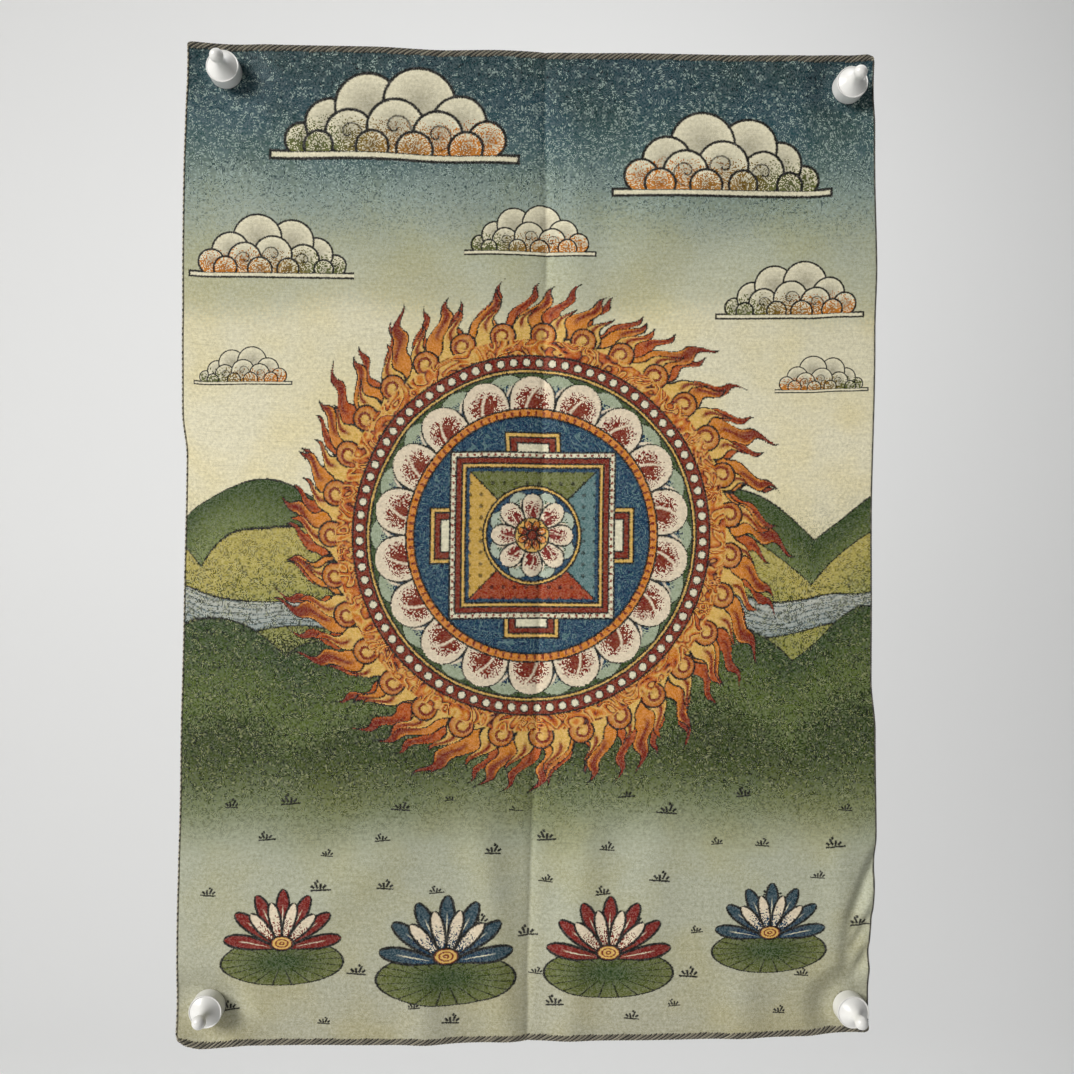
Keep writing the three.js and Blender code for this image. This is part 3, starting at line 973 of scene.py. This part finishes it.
def petal_ring(loom, color, r, turn, chance, count, phase, inner, outer, skin, heart):
    """A ring of petals, sqrt(1 - s^3) of the cell wide at s along, with stippled hearts and curved veins."""
    t = ring_cell(turn, count, phase)
    s = r.ramp(inner, outer)
    beyond = (abs(t) * 2 - (1 - s**3.0).math("SQRT")) * r * (pi / count)
    band = r.inside(outer + LINE) * r.scaled(-1, inner + outer).inside(outer)
    across = t * 2.4
    bloom = (across * across + s.scaled(2.2, -0.75) ** 2.0).scaled(-1, 1.05)
    petal = loom.mix(skin, heart, bloom.math("GREATER_THAN", chance))
    bow = t + (s * s).scaled(0.5, -0.16)
    vein = bow.line(0.03, 0.03) * s.ramp(0.12, 0.2) * s.ramp(0.8, 0.68)
    petal = loom.mix(petal, PALE, vein)
    return loom.inked(color, petal, beyond, mask=band)


def beads(loom, color, r, turn, count, radius, middle, skin):
    """A ring of round beads, each finely inked round its rim."""
    _, _, away = ring_spot(r, turn, count, 0.0, middle)
    return loom.inked(color, skin, away, radius, line=0.25)


def wheel_rim(loom, color, r, turn, vector, chance):
    """The medallion's outer rings: flames, a blaze of swirls, beads and two rings of petals."""
    for flames in FLAMES:
        color = flame_tongues(loom, color, r, turn, *flames)
    color = flame_curls(loom, color, r, turn, 31, 0.5, 87, 5.5)
    lick = (loom.noise(vector, 0.08, 1.0, 1.6) * 8).fract()
    fire = [(0.0, RUST), (0.22, EMBER), (0.5, ORANGE), (0.72, GOLD), (1.0, EMBER)]
    blaze = loom.wash(fire, lick)
    blaze = loom.mix(blaze, dye(70, 34, 20), (lick - 0.5).line(0.44, 0.04).scaled(-1, 1))
    color = loom.mix(color, blaze, r.inside(85))
    color = loom.inked(color, RUST, r, 78)
    color = beads(loom, color, r, turn, 84, 1.75, 75, CREAM)
    color = loom.inked(color, GOLD, r, 72)
    color = loom.inked(color, MOSS, r, 70.5)
    color = petal_ring(loom, color, r, turn, chance, 18, 0.5, 52, 70, dye(146, 156, 132), LAPIS)
    color = petal_ring(loom, color, r, turn, chance, 18, 0.0, 52, 69, PALE, RUST)
    color = loom.inked(color, ORANGE, r, 55)
    teeth = ring_cell(turn, 96).line(0.16, 0.06) * r.inside(54) * r.scaled(-1, 0).inside(-52)
    return loom.mix(color, RUST, teeth)


def wheel_hub(loom, color, x, y, r, turn, vector, chance):
    """The medallion's middle: a field of scrolls, a gated square and a lotus."""
    color = loom.inked(color, LAPIS, r, 51.5)
    scroll = (loom.noise(vector, 0.16, 0.0, 1.0) * 5).cell()
    color = loom.mix(color, TEAL, scroll.line(0.09, 0.05) * r.inside(50.5) * 0.8)
    color = palace(loom, color, x, y)
    color = loom.inked(color, GOLD, r, 21.5)
    color = loom.inked(color, LAPIS, r, 20)
    color = petal_ring(loom, color, r, turn, chance, 8, 0.0, 6, 19.5, dye(160, 170, 154), MOSS)
    color = petal_ring(loom, color, r, turn, chance, 8, 0.5, 6, 18, PALE, ROSE)
    color = loom.inked(color, GOLD, r, 7.5)
    color = petal_ring(loom, color, r, turn, chance, 8, 0.0, 1.5, 6.6, ORANGE, RUST)
    return loom.inked(color, RUST, r, 2.2)


def palace(loom, color, x, y):
    """A square of bands with a stepped gate on each side and four coloured quarters."""
    ax, ay = abs(x), abs(y)
    far = ax.math("MAXIMUM", ay)
    side = ax.math("MINIMUM", ay)
    for reach, half, fill in ((44.5, 12.0, GOLD), (42.5, 10.0, RUST), (40.0, 7.0, CREAM)):
        gate = (far - reach).math("MAXIMUM", side - half)
        color = loom.inked(color, fill, gate)
    for half, fill in ((36.0, CREAM), (33.6, RUST), (31.0, GOLD), (29.2, LAPIS)):
        color = loom.inked(color, fill, far, half)
    studs = (far - 34.8).line(0.5) * (side * 0.33).cell().line(0.2, 0.1)
    color = loom.mix(color, RUST, studs)
    across = loom.mix(dye(184, 150, 78), TEAL, x.over(0))
    upright = loom.mix(dye(142, 66, 34), OLIVE, y.over(0))
    quarter = loom.mix(upright, across, (ax - ay).over(0))
    dots = (x * 0.2).cell() ** 2.0 + (y * 0.2).cell() ** 2.0
    quarter = loom.mix(quarter, INK, dots.inside(0.03, 0.02) * 0.7)
    color = loom.mix(color, quarter, far.inside(27.6))
    return loom.mix(color, INK, (ax - ay).line(0.4) * far.inside(28))


def blossom(loom, color, u, vector, near, chance):
    """A lotus seen from the side, red and blue by turns: a leaf pad, two fans of pointed petals and a pod."""
    x, y, _ = loom.split(vector)
    line = 0.02
    pad_y = y.scaled(2.6, 0.55)
    pad = x.hypot(pad_y)
    leaf = loom.mix(MOSS, OLIVE, pad.ramp(0.2, 1.0))
    veins = (pad_y.math("ARCTAN2", x) * 3.2).cell()
    leaf = loom.mix(leaf, INK, veins.line(0.06, 0.05) * pad.ramp(0.25, 0.4) * 0.8)
    color = loom.inked(color, leaf, pad, 1.0, line, 0.02, near)
    r = x.hypot(y)
    angle = x.math("ARCTAN2", y)
    is_red = (u * (pi / BLOSSOM_STEP)).math("SINE").over(0)
    red = loom.mix(dye(58, 76, 84), ROSE, is_red)
    dark = loom.mix(LAPIS, RUST, is_red)
    fans = ((3.5, 0.46, 0.98, 0.5, red, dark), (2.0, 0.5, 0.78, 0.0, PALE, dark))
    for count, step, long, phase, skin, heart in fans:
        t = angle.scaled(1 / step, phase).cell()
        fan = abs(angle).inside(count * step, 0.02) * r.inside(long, 0.02) * near
        s = r.ramp(0.02, long)
        beyond = (abs(t) * 2 - (1 - s**2.2) ** 0.62) * r * (step / 2)
        petal = loom.mix(skin, heart, s.ramp(0.75, 0.1).math("GREATER_THAN", chance))
        petal = loom.mix(petal, CREAM, t.line(0.03, 0.03) * s.ramp(0.2, 0.3) * s.ramp(0.75, 0.6))
        color = loom.inked(color, petal, beyond, 0.0, line, 0.015, fan)
    pod = x.hypot(y.scaled(1.6, -0.16))
    rings = loom.mix(GOLD, RUST, (pod * 15).cell().line(0.2, 0.1))
    return loom.inked(color, rings, pod, 0.19, line, 0.02, near)


def tufts(loom, color, vector, near):
    """Small grass tufts: a slanting ground line, and short dabs that fan out above it."""
    x, y, _ = loom.split(vector)
    strokes = (y + x * 0.08).line(0.3, 0.25) * (x + 0.5).line(3.6)
    for foot, lean, start, end in TUFT_DABS:
        aside_x = x - foot
        along = aside_x * sin(lean) + y * cos(lean)
        aside = aside_x * cos(lean) - y * sin(lean)
        dab = aside.line(0.42) * (along - (start + end) / 2).line((end - start) / 2)
        strokes = strokes.math("MAXIMUM", dab)
    return loom.mix(color, INK, strokes * near)


def motif_point(loom, name, chance, wander, shake):
    """The place in the nearest motif's own frame, shaken by the weave, and 1 where it is near enough."""
    x, y, near = loom.split(loom.attribute(name))
    shaken = {0: x + chance.scaled(shake, 0), 1: y + wander.scaled(shake, 0)}
    return loom.node("ShaderNodeCombineXYZ", {}, shaken), near.over(0.9)


def brocade(region):
    """The cloth's material in one region: the layers of the woven design that show there, and its grain."""
    loom = Loom("brocade_" + region)
    vector = loom.attribute("design")
    (chance, wander, tone), cell = loom.random_in_cells(vector, (WEAVE_CELL, WEAVE_CELL, 1))
    cell_u, cell_v, _ = loom.split(cell)
    u = cell_u + chance.scaled(WEAVE_CELL * 0.9, WEAVE_CELL * 0.05)
    v = cell_v + wander.scaled(WEAVE_CELL * 0.9, WEAVE_CELL * 0.05)
    color = LAPIS
    if region != "hub":
        color, height, worm, patch = ground(loom, v, cell, tone)
    if region == "sky":
        color = sky_flecks(loom, color, height, worm, patch)
        point, near = motif_point(loom, "cloud", chance, wander, 0.01)
        color = cloud(loom, color, point, near, tone)
    if region in ("hills", "rim"):
        roll = loom.noise(cell, 0.018)
        rolled_u, rolled_v = u + roll.scaled(44, -22), v + roll.scaled(-26, 13)
        for row in HILL_ROWS:
            if row is HILL_ROWS[-1]:
                color = stream(loom, color, rolled_u, rolled_v)
            color = hill_row(loom, color, rolled_u, rolled_v, tone, row)
        color = meadow_flecks(loom, color, height, worm, patch)
    if region == "meadow":
        color = meadow_flecks(loom, color, height, worm, patch)
        point, near = motif_point(loom, "tuft", chance, wander, 0.25)
        color = tufts(loom, color, point, near)
        point, near = motif_point(loom, "blossom", chance, wander, 0.012)
        color = blossom(loom, color, u, point, near, tone)
    if region in ("rim", "hub", "back"):
        y = v - WHEEL_UP
        r = u.hypot(y)
        turn = y.math("ARCTAN2", u).scaled(0.5 / pi, 0.5)
    if region == "rim":
        color = wheel_rim(loom, color, r, turn, cell, tone)
    if region in ("rim", "hub"):
        color = wheel_hub(loom, color, u, y, r, turn, cell, tone)
    if region == "back":
        color = loom.mix(color, EMBER, r.inside(96, 6) * 0.8)
        color = loom.mix(color, PALE, r.inside(72, 2) * 0.8)
        color = loom.mix(color, RUST, r.inside(54, 2) * 0.8)
        floats = loom.noise(loom.stretched(vector, (0.05, 1.6, 1)), 1.0, 2.0)
        yarns = [(0.3, LAPIS), (0.42, CREAM), (0.5, RUST), (0.56, CREAM), (0.62, OLIVE), (0.72, GOLD)]
        color = loom.mix(color, loom.wash(yarns, floats), 0.5)
        color = loom.mix(color, dye(168, 158, 136), 0.3)

    streak = loom.noise(loom.stretched(vector, (0.16, 2.4, 1)), 1.0, 1.0)
    mottle = loom.noise(vector, 0.7, 2.0)
    grain = streak.scaled(0.24, 0.88) + mottle.scaled(0.4, -0.2)
    yarn = (tone + mottle).scaled(YARN_FLECK, -YARN_FLECK)
    rib = loom.stretched(vector, (2.1, 1.7, 1))
    relief = loom.noise(rib, 1.0, 1.0) + loom.noise(vector, 0.35, 1.0).scaled(0.4, 0)
    settings = {
        "Base Color": loom.flecked(color, grain, yarn),
        "Roughness": tone.scaled(0.12, 0.58),
        "Normal": loom.bump(relief, 0.35, 0.0002),
        "Specular IOR Level": 0.22,
    }
    return finished(loom, settings)


def share_regions(piece, design):
    """Gives every face the material of the region that its middle lies in, a ring or a band."""
    regions = ("sky", "hills", "meadow", "rim", "hub", "back")
    for region in regions[1:]:
        piece.data.materials.append(brocade(region))
    first = np.empty(len(piece.data.polygons), int)
    piece.data.polygons.foreach_get("loop_start", first)
    corners = np.empty(len(piece.data.loops), int)
    piece.data.loops.foreach_get("vertex_index", corners)
    middle = (design[corners[first]] + design[corners[first + 2]]) / 2
    is_back = np.maximum(corners[first], corners[first + 2]) >= len(design) // 2
    across, up = middle.T
    from_hub = np.hypot(across, up - WHEEL_UP)
    tests = [is_back, from_hub < HUB_EDGE, from_hub < FLAME_EDGE, up > SKY_EDGE, up > MEADOW_EDGE]
    numbers = [regions.index(name) for name in ("back", "hub", "rim", "sky", "hills")]
    chosen = np.select(tests, numbers, regions.index("meadow"))
    piece.data.polygons.foreach_set("material_index", chosen.astype(np.int32))


def finished(loom, settings):
    """Ends a material in one Principled shader."""
    shader = loom.node("ShaderNodeBsdfPrincipled", {}, settings)
    output = loom.tree.nodes.new("ShaderNodeOutputMaterial")
    loom.tree.links.new(shader.socket, output.inputs["Surface"])
    return loom.material


def overlock_thread():
    """Spun thread of the edge stitches: two plies that wind as sin(rate * run + angle), with fuzz, and
    painted shade in the grooves between the plies.
    """
    loom = Loom("overlock_thread")
    vector = loom.attribute("thread")
    run, across, out = loom.split(vector)
    tint, _, _ = loom.split(loom.attribute("tint"))
    wind = run * 7.0
    ply = (wind.math("SINE") * across + wind.math("COSINE") * out).scaled(0.5, 0.5)
    fuzz = loom.noise(vector, 3.0, 1.0)
    # Dark to light thread by the tint, which also holds the painted light of the left edge and the painted
    # shade of the right edge.
    color = loom.mix(dye(44, 41, 34), dye(168, 161, 140), tint)
    # Painted shade: the colour darkens where the ply relief is low, in the grooves between the plies.
    color = loom.times(color, ply.scaled(0.4, 0.65) + fuzz.scaled(0.5, -0.15))
    relief = ply + fuzz.scaled(0.4, 0)
    settings = {
        "Base Color": color,
        "Roughness": fuzz.scaled(0.2, 0.7),
        "Normal": loom.bump(relief, 0.6, 0.0002),
        "Sheen Weight": 0.2,
    }
    return finished(loom, settings)


def white_plastic():
    """Moulded white plastic with faint flow marks and a few dull patches."""
    loom = Loom("white_plastic")
    vector = loom.node("ShaderNodeTexCoord", {}, {}, "Object")
    cloudy = loom.noise(vector, 180.0, 2.0)
    fine = loom.noise(vector, 1400.0, 1.0)
    color = loom.mix(dye(204, 203, 200), dye(216, 216, 213), cloudy)
    settings = {
        "Base Color": color,
        "Roughness": cloudy.scaled(0.16, 0.24),
        "Normal": loom.bump(fine, 0.08, 0.0001),
        "Coat Weight": 0.2,
        "Coat Roughness": 0.15,
    }
    return finished(loom, settings)


def stage_paint():
    """Matt pale paint of the floor and its cove."""
    loom = Loom("stage")
    return finished(loom, {"Base Color": (0.88, 0.885, 0.885, 1), "Roughness": 0.9})


def stage_floor(material):
    """A pale floor that curves up into a backdrop well behind the panel, by a quarter circle."""
    turn = np.linspace(0, pi / 2, 24)
    cove = COVE_START + COVE_RADIUS * np.sin(turn)
    along = np.concatenate([[FLOOR_FRONT], cove, [COVE_START + COVE_RADIUS]])
    rise = np.concatenate([[0], COVE_RADIUS * (1 - np.cos(turn)), [BACKDROP_TALL]])
    across = np.array([-FLOOR_HALF, FLOOR_HALF])
    shape = (len(along), len(across))
    x = np.broadcast_to(across, shape)
    y = np.broadcast_to(along[:, None], shape)
    z = np.broadcast_to(FLOOR_HEIGHT + rise[:, None], shape)
    points = np.stack([x, y, z], axis=-1).reshape(-1, 3) / MM
    return new_piece("stage_floor", points, grid_faces(*shape)[:, ::-1].tolist(), material)


def area_light(name, place, target, size, power, color):
    """A square soft light at a place, facing the target."""
    data = bpy.data.lights.new(name, "AREA")
    data.size = size
    data.energy = power
    data.color = color
    light = bpy.data.objects.new(name, data)
    facing = (Vector(target) - Vector(place)).to_track_quat("-Z", "Y")
    light.matrix_world = Matrix.Translation(place) @ facing.to_matrix().to_4x4()
    bpy.context.collection.objects.link(light)


def photograph_camera():
    """The photograph's camera: yaw, pitch and roll about the upright, side and forward lines."""
    yaw, pitch, roll = (radians(turn) for turn in CAMERA_TURNS)
    turned = Matrix.Rotation(yaw, 4, "Z") @ Matrix.Rotation(pitch, 4, "X") @ Matrix.Rotation(roll, 4, "Y")
    level = Matrix.Rotation(pi / 2, 4, "X")
    data = bpy.data.cameras.new("camera")
    data.sensor_fit = "HORIZONTAL"
    data.angle = radians(CAMERA_VIEW)
    data.clip_start = 0.01
    camera = bpy.data.objects.new("camera", data)
    camera.matrix_world = Matrix.Translation([place * MM for place in CAMERA_PLACE]) @ turned @ level
    bpy.context.collection.objects.link(camera)
    bpy.context.scene.camera = camera


def tuft_places():
    """Tufts scattered over the meadow: an even grid, shifted by sines of the row and column."""
    row, column = np.divmod(np.arange(TUFT_ROWS * TUFT_COLUMNS), TUFT_COLUMNS)
    across = (column - (TUFT_COLUMNS - 1) / 2) * TUFT_STEP
    across = across + 9 * np.sin(row * 2.3 + column * 4.1) + 8 * (row % 2)
    up = TUFT_TOP - row * TUFT_DROP + 3.5 * np.sin(row * 1.7 + column * 2.9)
    size = 1.05 + 0.2 * np.sin(row * 3.1 + column * 1.3)
    flip = np.where((row + column) % 2 == 0, 1, -1)
    return np.stack([across, up, size, flip], axis=-1)


bpy.context.scene.view_settings.view_transform = "Standard"
world = bpy.data.worlds.new("studio")
world.use_nodes = True
world.node_tree.nodes["Background"].inputs["Color"].default_value = STUDIO_TINT
world.node_tree.nodes["Background"].inputs["Strength"].default_value = STUDIO_STRENGTH
bpy.context.scene.world = world
area_light("key", (-2.6, -2.05, 1.25), (0, 0, -0.2), 1.8, 140, (1, 0.985, 0.96))
area_light("backdrop_light", (0.5, 0.5, 1.0), (0.3, 2.4, -0.7), 1.5, 15, (1, 1, 1))
photograph_camera()

cloth, design = panel_sheet(brocade("sky"))
share_regions(cloth, design)
side = np.repeat([FACE_LAYER, BACK_LAYER], len(design) // 2)
keep_vectors(cloth, "design", np.column_stack([design, side]))
for name, motifs in (("cloud", CLOUDS), ("blossom", BLOSSOMS), ("tuft", tuft_places())):
    keep_vectors(cloth, name, motif_frame(design, motifs, *MOTIF_REACH[name]))
bake_map(cloth, design, BACK_BAKE_SHARE)

thread = overlock_thread()
edges = [overlock(edge, thread) for edge in OVERLOCKS]
plastic = white_plastic()
magnets = [magnet(name, plastic) for name in MAGNETS]
for piece in [cloth, *edges, *magnets]:
    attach(piece, "root")
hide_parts("panel")
for piece, name in zip(magnets, MAGNETS):
    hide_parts(name)
stage_floor(stage_paint())
